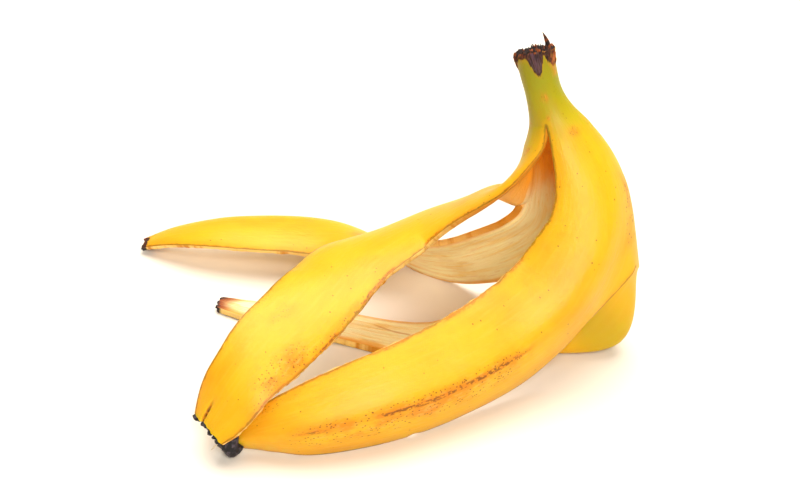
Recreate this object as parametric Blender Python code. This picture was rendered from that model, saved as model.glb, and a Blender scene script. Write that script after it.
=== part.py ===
"""Banana peel: one skin, torn down its length into four strips that still hang together at the stem.

Lengths are worked out in millimetres and written in metres, with +Z up and the floor at Z = 0.
A point of the peel is found by its level, the distance down the middle of the fruit from the cut
stem, and by its angle round the fruit, counted from the middle ridge of the front strip towards
the outside of the bend.
"""

import bmesh
import bpy
import numpy as np

MM = 0.001
NAME = "banana_peel"

# Rows of the loft: each band runs between two levels and holds this many rows.
BANDS = (
    (0.0, 19.0, 5), (19.0, 21.5, 1), (21.5, 53.5, 12), (53.5, 62.0, 3), (62.0, 65.0, 1),
    (65.0, 190.0, 34),
)
BLOSSOM_END = BANDS[-1][1]

SKIN = 2.8  # thickness of the peel
HOLLOW_TOP = 19.0  # level of the pointed top of the space left by the fruit
HOLLOW_RADIUS = 0.6  # its radius at the first row
EVEN_FROM = 31.0  # from this level down the skin has its even thickness
INNER_BLEND = (28.0, 16.0)  # where the inside stops being round, and over what length
STEM_DOME = 0.8  # rise of the cut end of the stem at its middle

# Ridges of the fruit: rise as a share of the radius, spread in degrees, and the mean taken off.
RIDGE_RISE, RIDGE_SPREAD, RIDGE_MEAN = 0.055, 15.0, 0.37
RIDGE_FROM, RIDGE_OVER = 10.0, 60.0  # level where the ridges start, and length over which they grow
# The outside of the bend slumps: middle angle and spread, then level and share of the radius.
SAG_ANGLE, SAG_SPREAD = 88.0, 42.0
SAG = ((44, 0.0), (58, 0.2), (66, 0.47), (74, 0.85), (84, 1.0))

# Middle line of the fruit: level, x, y, z.
MIDDLE = (
    (0, 40.6, 6.5, 97.5), (13.5, 44.0, 4.0, 85.2), (29, 49.2, 1.0, 71.5), (50, 54.0, -5.0, 52.5),
    (69, 50.6, -12.4, 36.5), (90, 38.0, -21.3, 23.3), (115, 18.0, -34.8, 16.8),
    (140, -3.5, -47.5, 14.0), (165, -27.5, -57.0, 10.8), (190, -49.5, -61.5, 5.2),
)
# Radius of the fruit: level, radius.
GIRTH = (
    (0, 6.0), (6, 5.7), (13.5, 5.7), (21, 7.2), (29, 10.8), (40, 14.6), (52, 17.3), (65, 18.8),
    (88, 19.9), (110, 19.1), (135, 17.6), (158, 14.8), (178, 9.6), (190, 4.6),
)
# Way the front strip's middle ridge faces: level, x, y, z.
FACING = (
    (0, 0.68, -0.69, 0.24), (36, 0.68, -0.69, 0.24), (69, 0.46, -0.82, 0.31), (90, 0.3, -0.92, 0.24),
    (115, 0.24, -0.94, 0.22), (140, 0.18, -0.95, 0.21), (165, 0.14, -0.95, 0.27), (190, 0.2, -0.94, 0.24),
)

# Each tear: its angle round the fruit and the level where it starts.
TEARS = {
    "over_front": (-63.0, 21.5),
    "front_low": (50.0, 65.0),
    "low_far": (145.0, 62.0),
    "far_over": (217.0, 53.5),
}
# Each strip, in order round the fruit:
#   tears    the tears at its two edges
#   columns  how many faces it has across
#   ribbon   the two angles between which it runs as a ribbon of its own, where not its tears'
#   whole    levels where the ribbon's middle still lies on the fruit
#   free     stations of the ribbon after that: level, x, y, z, the way its outside faces,
#            curl in degrees across it, and share of its full width
#   curl     curl in degrees by level, where it is not given by the stations
#   stays    levels down to which its two edges follow the fruit, where not its tears' levels
#   leave    length over which its two edges change from the fruit to the ribbon
#   relax    how many times its hanging rows are evened out
STRIPS = {
    "over": dict(
        tears=("far_over", "over_front"), columns=8, stays=(50.0, 44.0), leave=(10, 26), relax=1,
        whole=(0, 12, 22),
        free=(
            (31, 38.1, -4.3, 75.2, -0.63, -0.24, 0.74, 85, 1),
            (42, 32.7, -5.3, 67.2, -0.73, 0.09, 0.67, 92, 1),
            (53, 30.2, -3.2, 59, -0.62, 0.42, 0.68, 98, 1),
            (67, 22.2, 1.6, 49.7, -0.57, 0.45, 0.69, 95, 1),
            (88, 2.5, 3.9, 37.4, -0.58, 0.15, 0.8, 68, 1.25),
            (105, -14.7, -9.8, 35.6, -0.3, -0.15, 0.94, 46, 1.19),
            (121, -22.1, -24.6, 35, -0.02, -0.29, 0.96, 42, 1.07),
            (140, -31, -40.3, 33.2, 0.17, -0.37, 0.91, 42, 1.1),
            (157, -39.5, -51.9, 30.6, 0.16, -0.46, 0.87, 40, 1.2),
            (173, -48.2, -61.1, 24.6, -0.14, -0.63, 0.76, 36, 1.37),
            (190, -57.4, -66.2, 11.1, -0.44, -0.57, 0.7, 30, 2.3),
        ),
    ),
    "front": dict(
        tears=("over_front", "front_low"), columns=10, ribbon=(-63, 67), leave=(58, 18), relax=0,
        whole=(0, 12, 24, 38, 56, 76, 98, 124, 150, 174, 190),
        free=(),
        curl=((0, 128), (30, 128), (60, 114), (90, 102), (157, 90), (190, 80)),
    ),
    "low": dict(
        tears=("front_low", "low_far"), columns=7, ribbon=(46, 134), stays=(74.0, 74.0), leave=(12, 16), relax=3,
        whole=(0, 12, 24, 42, 54, 62, 70, 75),
        free=(
            (82, 70.5, -15.5, 5.0, 0.62, -0.25, -0.74, 112, 0.95),
            (88, 62, -16, 0.9, 0.3, -0.25, -0.92, 112, 0.95),
            (94, 51, -14, 0.1, 0.1, -0.15, -0.98, 100, 0.92),
            (102, 40.5, -11.6, -0.3, 0, -0.05, -1, 70, 0.9),
            (112, 29, -10.6, -0.4, 0, 0, -1, 35, 0.85),
            (122, 19, -11.5, -0.3, 0, 0, -1, 25, 0.75),
            (132, 9, -11.4, -0.25, 0, 0, -1, 20, 0.68),
            (145, -5, -8.7, -0.2, 0, 0, -1, 20, 0.64),
            (158, -20, -3.2, -0.2, 0, 0, -1, 20, 0.66),
            (178, -46, 4, -0.1, 0, 0, -1, 15, 0.74),
            (190, -60, 9, 0.2, 0, 0, -1, 10, 0.9),
        ),
    ),
    "far": dict(
        tears=("low_far", "far_over"), columns=7, leave=(24, 15), relax=1,
        whole=(0, 12, 24, 44),
        free=(
            (62, 36.1, 8.8, 34.1, -0.52, 0.83, -0.23, 69, 1.12),
            (80, 23, 14, 19.2, -0.25, 0.97, 0.05, 60, 1.14),
            (96, 8.5, 24, 11.7, 0.2, 0.85, 0.48, 45, 1.03),
            (113, -8, 30.1, 13.9, 0.2, 0.5, 0.84, 45, 1),
            (129, -24, 34.2, 13.7, 0, 0.1, 1, 60, 1),
            (153, -52, 36.4, 14, 0, 0, 1, 70, 1.08),
            (164, -64, 37.6, 13, 0, 0, 1, 70, 1.08),
            (177, -78, 40.5, 8.8, 0, 0, 1, 60, 1),
            (190, -89, 42.6, 3.3, 0, 0, 1, 40, 1),
        ),
    ),
}
# Line that the front edge of the over strip follows while it is pulled off the neck.
PULLED_EDGE = (
    (31, 43.2, -10.3, 74.5), (42, 37.8, -14.4, 68.5), (52, 32.5, -15.7, 62.5),
    (62, 26.4, -13.3, 56.0), (72, 19.8, -11.3, 50.0),
)
# Line that the front edge of the low strip follows behind the front strip, the length over which
# it is let go of below that, and the share of the strip that is turned in with it.
TUCKED_EDGE = (
    (68.7, 68.6, -16.4, 31.6), (72.4, 64.6, -17.4, 27.2), (76, 60.8, -17.8, 23.4),
    (80, 57.5, -18, 19.6), (84, 55, -18.4, 15.4), (88, 52.2, -19.6, 11.2), (92, 48.8, -21, 7.4),
)
TUCK_FADE, TUCK_WIDTH = 12.0, 0.9
BACK_GAP, BACK_GAP_OVER = 15.0, 12.0  # degrees the low strip's back edge draws in, over this length
# The front strip's lower edge is torn in at the bend: level, share of the strip's half width.
TORN_IN = ((65, 0.0), (69, 0.13), (78, 0.22), (90, 0.14), (104, 0.0))

ORDER = ("over", "front", "low", "far")
EVEN_BEND, EDGE_BEND = 0.6, 0.4  # how a strip's curl is shared between its middle and its edges
RIDGE_BEND, RIDGE_WIDTH = 0.5, 0.16  # the front strip bends more at its middle ridge
SAMPLES = 401  # steps along a section's outline
STEP = 0.5  # distance along a line that its direction is taken over

SKIN_YELLOW = (0.90, 0.56, 0.035, 1.0)
SKIN_ROUGHNESS = 0.42


def unit(vector):
    return vector / np.linalg.norm(vector, axis=-1, keepdims=True)


def ease(x):
    """0 before 0, 1 after 1, and smooth between."""
    x = np.clip(x, 0.0, 1.0)
    return x * x * (3.0 - 2.0 * x)


def curve(rows, at):
    """The smooth curve through rows of (level, values...), read at some levels."""
    rows = np.array(rows, float)
    keys, values = rows[:, 0], rows[:, 1:]
    steps = np.diff(keys)[:, None]
    rise = np.diff(values, axis=0) / steps
    slope = np.empty_like(values)
    slope[0], slope[-1] = rise[0], rise[-1]
    slope[1:-1] = (rise[:-1] * steps[1:] + rise[1:] * steps[:-1]) / (steps[1:] + steps[:-1])
    at = np.asarray(at, float)
    i = np.clip(np.searchsorted(keys, at, "right") - 1, 0, len(keys) - 2)
    span = steps[i]
    t = np.clip((at - keys[i])[:, None] / span, 0.0, 1.0)
    return (
        (2 * t**3 - 3 * t**2 + 1) * values[i] + (t**3 - 2 * t**2 + t) * span * slope[i]
        + (3 * t**2 - 2 * t**3) * values[i + 1] + (t**3 - t**2) * span * slope[i + 1]
    )


def direction(rows, at):
    """The direction of a curve of points at some levels."""
    ends = rows[0][0], rows[-1][0]
    ahead, behind = np.clip(at + STEP, *ends), np.clip(at - STEP, *ends)
    return unit(curve(rows, ahead) - curve(rows, behind))


def fruit_frame(level):
    """Middle point, way down the fruit, way the ridge faces, way to its side, and radius."""
    along = direction(MIDDLE, level)
    face = curve(FACING, level)
    face = unit(face - (face * along).sum(1, keepdims=True) * along)
    return curve(MIDDLE, level), along, face, np.cross(face, along), curve(GIRTH, level)[:, 0]


def outward(level, angle):
    """Unit vectors from the middle line at each level and each angle round it."""
    _, _, face, side, _ = fruit_frame(level)
    turn = np.radians(np.atleast_2d(angle))[..., None]
    return np.cos(turn) * face[:, None] + np.sin(turn) * side[:, None]


def fruit_surface(level, angle):
    """Points on the outside of the whole fruit, with its five ridges and its slump."""
    middle, _, _, _, radius = fruit_frame(level)
    ridges = -RIDGE_MEAN
    for centre in [0.0] + [tear[0] for tear in TEARS.values()]:
        away = (np.atleast_2d(angle) - centre + 180.0) % 360.0 - 180.0
        ridges = ridges + np.exp(-((away / RIDGE_SPREAD) ** 2))
    ridged = RIDGE_RISE * ridges * ease((level - RIDGE_FROM) / RIDGE_OVER)[:, None]
    slump = curve(SAG, level) * np.exp(-(((np.atleast_2d(angle) - SAG_ANGLE) / SAG_SPREAD) ** 2))
    reach = radius[:, None] * (1.0 + ridged + slump)
    return middle[:, None] + reach[..., None] * outward(level, angle)


def hollow_radius(level):
    """Radius of the space inside the neck, which opens from a point to the even skin."""
    radius = curve(GIRTH, level)[:, 0]
    opened = ease((level - HOLLOW_TOP) / (EVEN_FROM - HOLLOW_TOP))
    return HOLLOW_RADIUS + (radius - SKIN - HOLLOW_RADIUS) * opened


def outline(across, curl, ridged):
    """Section of a strip: offsets along its width and its facing for places from -1 to 1."""
    fine = np.linspace(-1.0, 1.0, SAMPLES)
    if ridged:
        turned = RIDGE_BEND * fine + (1.0 - RIDGE_BEND) * np.tanh(fine / RIDGE_WIDTH)
    else:
        turned = EVEN_BEND * fine + EDGE_BEND * fine**3
    heading = np.radians(curl) * turned / 2.0
    step = fine[1] - fine[0]
    offsets = []
    for slope in (np.cos(heading), -np.sin(heading)):
        run = np.concatenate([[0.0], np.cumsum((slope[1:] + slope[:-1]) * step / 2.0)])
        offsets.append(np.interp(across, fine, run - run[SAMPLES // 2]))
    return offsets


def edges_of(strip):
    """The angles of a strip's two edges, the second larger than the first."""
    first, second = (TEARS[name][0] for name in strip["tears"])
    return first, second + (360.0 if second < first else 0.0)


def free_surface(strip, level, across):
    """The strip as its own ribbon, carried along its stations."""
    first, second = strip.get("ribbon", edges_of(strip))
    middle = np.array([(first + second) / 2.0])
    path, facing, form = [], [], []
    for key in strip["whole"]:
        at = np.array([float(key)])
        path.append((key, *fruit_surface(at, middle)[0, 0]))
        facing.append((key, *outward(at, middle)[0, 0]))
        form.append((key, second - first, 1.0))
    for key, x, y, z, facing_x, facing_y, facing_z, curl, share in strip["free"]:
        path.append((key, x, y, z))
        facing.append((key, *unit(np.array([facing_x, facing_y, facing_z], float))))
        form.append((key, curl, share))
    along = direction(path, level)
    face = curve(facing, level)
    face = unit(face - (face * along).sum(1, keepdims=True) * along)
    width = np.cross(face, along)
    curl, share = curve(form, level).T
    if "curl" in strip:
        curl = curve(strip["curl"], level)[:, 0]
    half = np.radians(second - first) * curve(GIRTH, level)[:, 0] * share / 2.0
    surface = np.empty((len(level), len(across), 3))
    for row, centre in enumerate(curve(path, level)):
        aside, up = outline(across, curl[row], "curl" in strip)
        surface[row] = centre + half[row] * (aside[:, None] * width[row] + up[:, None] * face[row])
    return surface


def pull(level, across, surface):
    """How far the over strip is drawn off the neck: its front edge most, its back edge not at all."""
    start = TEARS["over_front"][1]
    edge = fruit_surface(np.array([start]), np.array([TEARS["over_front"][0]]))[0, 0]
    rows = ((start, *edge),) + PULLED_EDGE
    guide = curve(rows, np.clip(level, start, rows[-1][0]))
    lift = np.where((level >= start)[:, None], guide - surface[:, -1], 0.0)
    return np.sin(np.pi / 4.0 * (across + 1.0))[None, :, None] * lift[:, None]


def tuck(level, across, surface):
    """How far the low strip's front edge is turned in behind the front strip."""
    start, end = TEARS["front_low"][1], TUCKED_EDGE[-1][0]
    guide = curve(((start, *surface[int(np.searchsorted(level, start)), 0]),) + TUCKED_EDGE, level)
    amount = np.where(level > start, 1.0, 0.0) * (1.0 - ease((level - end) / TUCK_FADE))
    near_edge = ease(1.0 - (across + 1.0) / TUCK_WIDTH)
    return (amount[:, None] * near_edge)[..., None] * (guide - surface[:, 0])[:, None]


def torn_in(level, across, surface):
    """The front strip with its lower edge moved in along its own surface at the bend."""
    share = curve(TORN_IN, np.clip(level, TORN_IN[0][0], TORN_IN[-1][0]))[:, 0]
    places = across - share[:, None] * ((across + 1.0) / 2.0) ** 3
    moved = np.empty_like(surface)
    for row, place in enumerate(places):
        for axis in range(3):
            moved[row, :, axis] = np.interp(place, across, surface[row, :, axis])
    return moved


def relax(level, surface, below, passes):
    """Evens out the rows of a strip that hang freely below a level."""
    for _ in range(passes):
        evened = surface.copy()
        evened[1:-1] = (surface[:-2] + 2.0 * surface[1:-1] + surface[2:]) / 4.0
        surface = np.where((level <= below)[:, None, None], surface, evened)
    return surface


def strip_surfaces(name, level):
    """Outside and inside of one strip, as rows of points."""
    strip = STRIPS[name]
    across = np.linspace(-1.0, 1.0, strip["columns"] + 1)
    first, second = edges_of(strip)
    if name == "low":
        second = second - BACK_GAP * ease((level - TEARS["low_far"][1])[:, None] / BACK_GAP_OVER)
    angle = first + (second - first) * (across + 1.0) / 2.0
    near = fruit_surface(level, angle)
    middle = fruit_frame(level)[0][:, None]
    near_inside = middle + hollow_radius(level)[:, None, None] * outward(level, angle)
    starts = np.interp(across, (-1, 1), [TEARS[tear][1] for tear in strip["tears"]])
    if name == "over":
        moved = pull(level, across, near)
        near, near_inside = near + moved, near_inside + moved
    if "stays" in strip:
        starts = np.interp(across, (-1, 1), strip["stays"])
    over = np.interp(across, (-1, 1), strip["leave"])
    loose = ease((level[:, None] - starts) / over)[..., None]
    outside = near * (1.0 - loose) + free_surface(strip, level, across) * loose
    if name == "front":
        outside = torn_in(level, across, outside)
    if name == "low":
        outside = outside + tuck(level, across, outside)
    outside = relax(level, outside, max(TEARS[tear][1] for tear in strip["tears"]), strip["relax"])
    down, aside = np.gradient(outside, axis=0), np.gradient(outside, axis=1)
    even_inside = outside - SKIN * unit(np.cross(down, aside))
    even = ease((level - INNER_BLEND[0]) / INNER_BLEND[1])[:, None, None]
    return outside, near_inside * (1.0 - even) + even_inside * even


def levels():
    rows = [np.linspace(start, end, count, endpoint=False) for start, end, count in BANDS]
    return np.concatenate(rows + [[BLOSSOM_END]])


def join_at_tears(level, surfaces, number):
    """Makes neighbouring strips share their points above the tear between them."""
    for left, right in zip(ORDER, ORDER[1:] + ORDER[:1]):
        whole = level <= TEARS[STRIPS[left]["tears"][1]][1]
        for side in (0, 1):
            shared = (surfaces[left][side][whole, -1] + surfaces[right][side][whole, 0]) / 2.0
            surfaces[left][side][whole, -1] = surfaces[right][side][whole, 0] = shared
            number[right][side][whole, 0] = number[left][side][whole, -1]


def build_mesh():
    """Points in millimetres and faces of the closed peel."""
    level = levels()
    top = int(np.searchsorted(level, HOLLOW_TOP))
    surfaces, number, count = {}, {}, 0
    for name in ORDER:
        surfaces[name] = strip_surfaces(name, level)
        shape = surfaces[name][0].shape[:2]
        size = shape[0] * shape[1]
        number[name] = np.arange(count, count + 2 * size).reshape(2, *shape)
        count += 2 * size
    join_at_tears(level, surfaces, number)
    points = np.concatenate([side.reshape(-1, 3) for name in ORDER for side in surfaces[name]])
    middle, along, _, _, _ = fruit_frame(level)
    stem_top, hollow_tip = count, count + 1
    tips = middle[0] - STEM_DOME * along[0], middle[top] - HOLLOW_RADIUS * along[top]
    points = np.vstack([points, *tips])
    faces = []
    for name in ORDER:
        out, inn = number[name]
        rows, columns = out.shape
        for j in range(columns - 1):
            for i in range(rows - 1):
                faces.append((out[i, j], out[i + 1, j], out[i + 1, j + 1], out[i, j + 1]))
                if i >= top:
                    faces.append((inn[i, j], inn[i, j + 1], inn[i + 1, j + 1], inn[i + 1, j]))
            faces.append((stem_top, out[0, j], out[0, j + 1]))
            faces.append((hollow_tip, inn[top, j + 1], inn[top, j]))
            faces.append((out[-1, j], inn[-1, j], inn[-1, j + 1], out[-1, j + 1]))
        for column, tear in ((0, 0), (-1, 1)):
            start = int(np.searchsorted(level, TEARS[STRIPS[name]["tears"][tear]][1]))
            for i in range(start, rows - 1):
                wall = (out[i, column], inn[i, column], inn[i + 1, column], out[i + 1, column])
                faces.append(wall if column == 0 else wall[::-1])
    used, place = np.unique(np.concatenate([np.array(face) for face in faces]), return_inverse=True)
    cuts = np.cumsum([len(face) for face in faces])[:-1]
    return points[used], [tuple(face.tolist()) for face in np.split(place, cuts)]


def on_the_floor(points):
    """Pressed flat where it meets the floor, and moved so that its box stands on the origin."""
    points = points.copy()
    points[:, 2] = np.maximum(points[:, 2], 0.0)
    low, high = points.min(axis=0), points.max(axis=0)
    return points - [(low[0] + high[0]) / 2.0, (low[1] + high[1]) / 2.0, low[2]]


def skin_material():
    material = bpy.data.materials.new(NAME)
    material.use_nodes = True
    shader = material.node_tree.nodes["Principled BSDF"]
    shader.inputs["Base Color"].default_value = SKIN_YELLOW
    shader.inputs["Roughness"].default_value = SKIN_ROUGHNESS
    return material


def main():
    for leftover in list(bpy.data.objects):
        bpy.data.objects.remove(leftover, do_unlink=True)
    points, faces = build_mesh()
    mesh = bpy.data.meshes.new(NAME)
    mesh.from_pydata(on_the_floor(points) * MM, [], faces)
    shaped = bmesh.new()
    shaped.from_mesh(mesh)
    bmesh.ops.recalc_face_normals(shaped, faces=shaped.faces)
    shaped.to_mesh(mesh)
    shaped.free()
    mesh.materials.append(skin_material())
    peel = bpy.data.objects.new(NAME, mesh)
    collection = bpy.data.collections.new("banana_peel_parts")
    bpy.context.scene.collection.children.link(collection)
    collection.objects.link(peel)


main()
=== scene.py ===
"""Banana peel: the looks of a skin torn down its length into four strips that hang together at the stem.

The peel is lofted again, finer than its solid, from the same sizes in millimetres. A point of it is
found by its level, the distance down the middle of the fruit from the cut stem, and by its angle
round the fruit, counted from the middle ridge of the front strip towards the outside of the bend.
"""

import itertools
import math

import bpy
import numpy as np
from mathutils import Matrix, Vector


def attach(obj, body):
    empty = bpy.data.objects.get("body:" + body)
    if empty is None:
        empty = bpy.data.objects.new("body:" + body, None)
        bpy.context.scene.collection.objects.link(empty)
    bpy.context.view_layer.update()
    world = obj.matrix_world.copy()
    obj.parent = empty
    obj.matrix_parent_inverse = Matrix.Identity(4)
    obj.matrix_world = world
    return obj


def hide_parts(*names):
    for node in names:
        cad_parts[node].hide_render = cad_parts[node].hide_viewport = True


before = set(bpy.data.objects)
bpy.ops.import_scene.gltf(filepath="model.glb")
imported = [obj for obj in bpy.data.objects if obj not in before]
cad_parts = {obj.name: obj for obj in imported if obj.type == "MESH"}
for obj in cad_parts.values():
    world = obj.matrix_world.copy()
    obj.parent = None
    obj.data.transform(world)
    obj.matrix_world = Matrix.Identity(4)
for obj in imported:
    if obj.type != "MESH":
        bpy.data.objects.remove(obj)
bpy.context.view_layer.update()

bl_info = {
    "name": "Banana peel",
    "version": (1, 0, 0),
    "blender": (4, 5, 0),
    "location": "3D View > Sidebar > Banana peel",
    "description": "Makes the torn, empty skin of a ripe banana, with its stem and blossom end",
    "category": "Object",
}

MM = 0.001
NODE = "banana_peel"

# Rows of the loft: each band runs between two levels and holds this many rows.
BANDS = (
    (0.0, 19.0, 5), (19.0, 21.5, 1), (21.5, 53.5, 12), (53.5, 62.0, 3), (62.0, 65.0, 1),
    (65.0, 190.0, 34),
)
BLOSSOM_END = BANDS[-1][1]

SKIN = 2.8  # thickness of the peel
HOLLOW_TOP = 19.0  # level of the pointed top of the space left by the fruit
HOLLOW_RADIUS = 0.6  # its radius at the first row
EVEN_FROM = 31.0  # from this level down the skin has its even thickness
INNER_BLEND = (28.0, 16.0)  # where the inside stops being round, and over what length

# Ridges of the fruit: rise as a share of the radius, spread in degrees, and the mean taken off.
RIDGE_RISE, RIDGE_SPREAD, RIDGE_MEAN = 0.055, 15.0, 0.37
RIDGE_FROM, RIDGE_OVER = 10.0, 60.0  # level where the ridges start, and length over which they grow
# The outside of the bend slumps: middle angle and spread, then level and share of the radius.
SAG_ANGLE, SAG_SPREAD = 88.0, 42.0
SAG = ((44, 0.0), (58, 0.2), (66, 0.47), (74, 0.85), (84, 1.0))

# Middle line of the fruit: level, x, y, z.
MIDDLE = (
    (0, 40.6, 6.5, 97.5), (13.5, 44.0, 4.0, 85.2), (29, 49.2, 1.0, 71.5), (50, 54.0, -5.0, 52.5),
    (69, 50.6, -12.4, 36.5), (90, 38.0, -21.3, 23.3), (115, 18.0, -34.8, 16.8),
    (140, -3.5, -47.5, 14.0), (165, -27.5, -57.0, 10.8), (190, -49.5, -61.5, 5.2),
)
# Radius of the fruit: level, radius.
GIRTH = (
    (0, 6.0), (6, 5.7), (13.5, 5.7), (21, 7.2), (29, 10.8), (40, 14.6), (52, 17.3), (65, 18.8),
    (88, 19.9), (110, 19.1), (135, 17.6), (158, 14.8), (178, 9.6), (190, 4.6),
)
# Way the front strip's middle ridge faces: level, x, y, z.
FACING = (
    (0, 0.68, -0.69, 0.24), (36, 0.68, -0.69, 0.24), (69, 0.46, -0.82, 0.31), (90, 0.3, -0.92, 0.24),
    (115, 0.24, -0.94, 0.22), (140, 0.18, -0.95, 0.21), (165, 0.14, -0.95, 0.27), (190, 0.2, -0.94, 0.24),
)

# Each tear: its angle round the fruit and the level where it starts.
TEARS = {
    "over_front": (-63.0, 21.5),
    "front_low": (50.0, 65.0),
    "low_far": (145.0, 62.0),
    "far_over": (217.0, 53.5),
}
# Each strip, in order round the fruit:
#   tears    the tears at its two edges
#   columns  how many faces it has across
#   ribbon   the two angles between which it runs as a ribbon of its own, where not its tears'
#   whole    levels where the ribbon's middle still lies on the fruit
#   free     stations of the ribbon after that: level, x, y, z, the way its outside faces,
#            curl in degrees across it, and share of its full width
#   curl     curl in degrees by level, where it is not given by the stations
#   stays    levels down to which its two edges follow the fruit, where not its tears' levels
#   leave    length over which its two edges change from the fruit to the ribbon
#   relax    how many times its hanging rows are evened out
STRIPS = {
    "over": dict(
        tears=("far_over", "over_front"), columns=8, stays=(50.0, 44.0), leave=(10, 26), relax=1,
        whole=(0, 12, 22),
        free=(
            (31, 38.1, -4.3, 75.2, -0.63, -0.24, 0.74, 85, 1),
            (42, 32.7, -5.3, 67.2, -0.73, 0.09, 0.67, 92, 1),
            (53, 30.2, -3.2, 59, -0.62, 0.42, 0.68, 98, 1),
            (67, 22.2, 1.6, 49.7, -0.57, 0.45, 0.69, 95, 1),
            (88, 2.5, 3.9, 37.4, -0.58, 0.15, 0.8, 68, 1.25),
            (105, -14.7, -9.8, 35.6, -0.3, -0.15, 0.94, 46, 1.19),
            (121, -22.1, -24.6, 35, -0.02, -0.29, 0.96, 42, 1.07),
            (140, -31, -40.3, 33.2, 0.17, -0.37, 0.91, 42, 1.1),
            (157, -39.5, -51.9, 30.6, 0.16, -0.46, 0.87, 40, 1.2),
            (173, -48.2, -61.1, 24.6, -0.14, -0.63, 0.76, 36, 1.37),
            (190, -57.4, -66.2, 11.1, -0.44, -0.57, 0.7, 30, 2.3),
        ),
    ),
    "front": dict(
        tears=("over_front", "front_low"), columns=10, ribbon=(-63, 67), leave=(58, 18), relax=0,
        whole=(0, 12, 24, 38, 56, 76, 98, 124, 150, 174, 190),
        free=(),
        curl=((0, 128), (30, 128), (60, 114), (90, 102), (157, 90), (190, 80)),
    ),
    "low": dict(
        tears=("front_low", "low_far"), columns=7, ribbon=(46, 134), stays=(74.0, 74.0), leave=(12, 16),
        relax=3,
        whole=(0, 12, 24, 42, 54, 62, 70, 75),
        free=(
            (82, 70.5, -15.5, 5.0, 0.62, -0.25, -0.74, 112, 0.95),
            (88, 62, -16, 0.9, 0.3, -0.25, -0.92, 112, 0.95),
            (94, 51, -14, 0.1, 0.1, -0.15, -0.98, 100, 0.92),
            (102, 40.5, -11.6, -0.3, 0, -0.05, -1, 70, 0.9),
            (112, 29, -10.6, -0.4, 0, 0, -1, 35, 0.85),
            (122, 19, -11.5, -0.3, 0, 0, -1, 25, 0.75),
            (132, 9, -11.4, -0.25, 0, 0, -1, 20, 0.68),
            (145, -5, -8.7, -0.2, 0, 0, -1, 20, 0.64),
            (158, -20, -3.2, -0.2, 0, 0, -1, 20, 0.66),
            (178, -46, 4, -0.1, 0, 0, -1, 15, 0.74),
            (190, -60, 9, 0.2, 0, 0, -1, 10, 0.9),
        ),
    ),
    "far": dict(
        tears=("low_far", "far_over"), columns=7, leave=(24, 15), relax=1,
        whole=(0, 12, 24, 44),
        free=(
            (62, 36.1, 8.8, 34.1, -0.52, 0.83, -0.23, 69, 1.12),
            (80, 23, 14, 19.2, -0.25, 0.97, 0.05, 60, 1.14),
            (96, 8.5, 24, 11.7, 0.2, 0.85, 0.48, 45, 1.03),
            (113, -8, 30.1, 13.9, 0.2, 0.5, 0.84, 45, 1),
            (129, -24, 34.2, 13.7, 0, 0.1, 1, 60, 1),
            (153, -52, 36.4, 14, 0, 0, 1, 70, 1.08),
            (164, -64, 37.6, 13, 0, 0, 1, 70, 1.08),
            (177, -78, 40.5, 8.8, 0, 0, 1, 60, 1),
            (190, -89, 42.6, 3.3, 0, 0, 1, 40, 1),
        ),
    ),
}
# Line that the front edge of the over strip follows while it is pulled off the neck.
PULLED_EDGE = (
    (31, 43.2, -10.3, 74.5), (42, 37.8, -14.4, 68.5), (52, 32.5, -15.7, 62.5),
    (62, 26.4, -13.3, 56.0), (72, 19.8, -11.3, 50.0),
)
# Line that the front edge of the low strip follows behind the front strip, the length over which
# it is let go of below that, and the share of the strip that is turned in with it.
TUCKED_EDGE = (
    (68.7, 68.6, -16.4, 31.6), (72.4, 64.6, -17.4, 27.2), (76, 60.8, -17.8, 23.4),
    (80, 57.5, -18, 19.6), (84, 55, -18.4, 15.4), (88, 52.2, -19.6, 11.2), (92, 48.8, -21, 7.4),
)
TUCK_FADE, TUCK_WIDTH = 12.0, 0.9
BACK_GAP, BACK_GAP_OVER = 15.0, 12.0  # degrees the low strip's back edge draws in, over this length
# The front strip's lower edge is torn in at the bend: level, share of the strip's half width.
TORN_IN = ((65, 0.0), (69, 0.13), (78, 0.22), (90, 0.14), (104, 0.0))

ORDER = ("over", "front", "low", "far")
EVEN_BEND, EDGE_BEND = 0.6, 0.4  # how a strip's curl is shared between its middle and its edges
RIDGE_BEND, RIDGE_WIDTH = 0.5, 0.16  # the front strip bends more at its middle ridge
SAMPLES = 401  # steps along a section's outline
STEP = 0.5  # distance along a line that its direction is taken over

FINER_DOWN, FINER_ACROSS = 5, 5  # rows and columns of the skin for each of the solid's
WALL_STEPS = 3  # points between the outside and the inside of a torn edge
ROUND = 18.0  # radius of the cylinder that the skin's patterns are laid on

# How the skin is torn and dried: sizes in millimetres.
FRAY_LONG, FRAY_SHORT, SHORT_SHARE = 13.0, 2.6, 0.45  # the two periods of the fray, share of the short
FRAY_FADE = 5.0  # length below a tear's start over which its edges become ragged
FRAY_REACH = 3.0  # how far in from a torn edge its raggedness draws the skin
WALL_ROUGH, WALL_SWELL = 0.3, 0.25  # roughness of the torn walls, and how far they stand out
# Relief: height, spacing, and how many times longer it is down the fruit.
DENTS, DENT_LENGTH, DENT_STRETCH = 0.35, 15.0, 2.2
INNER_RIBS, RIB_WIDTH, RIB_STRETCH = 0.1, 1.8, 5.0
INNER_FLAKES, FLAKE_SIZE, FLAKE_STRETCH = 0.3, 6.0, 2.0
DENTS_FROM, DENTS_OVER = 12.0, 20.0  # level where the dents start, and length over which they grow
EDGE_THINNING, THIN_REACH = 0.3, 1.6  # share of its thickness lost at a torn edge, and how far in
TIP_RAGGED, TIP_REACH = 0.9, 5.0  # how far the dried ends wander down the fruit, and from where
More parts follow.
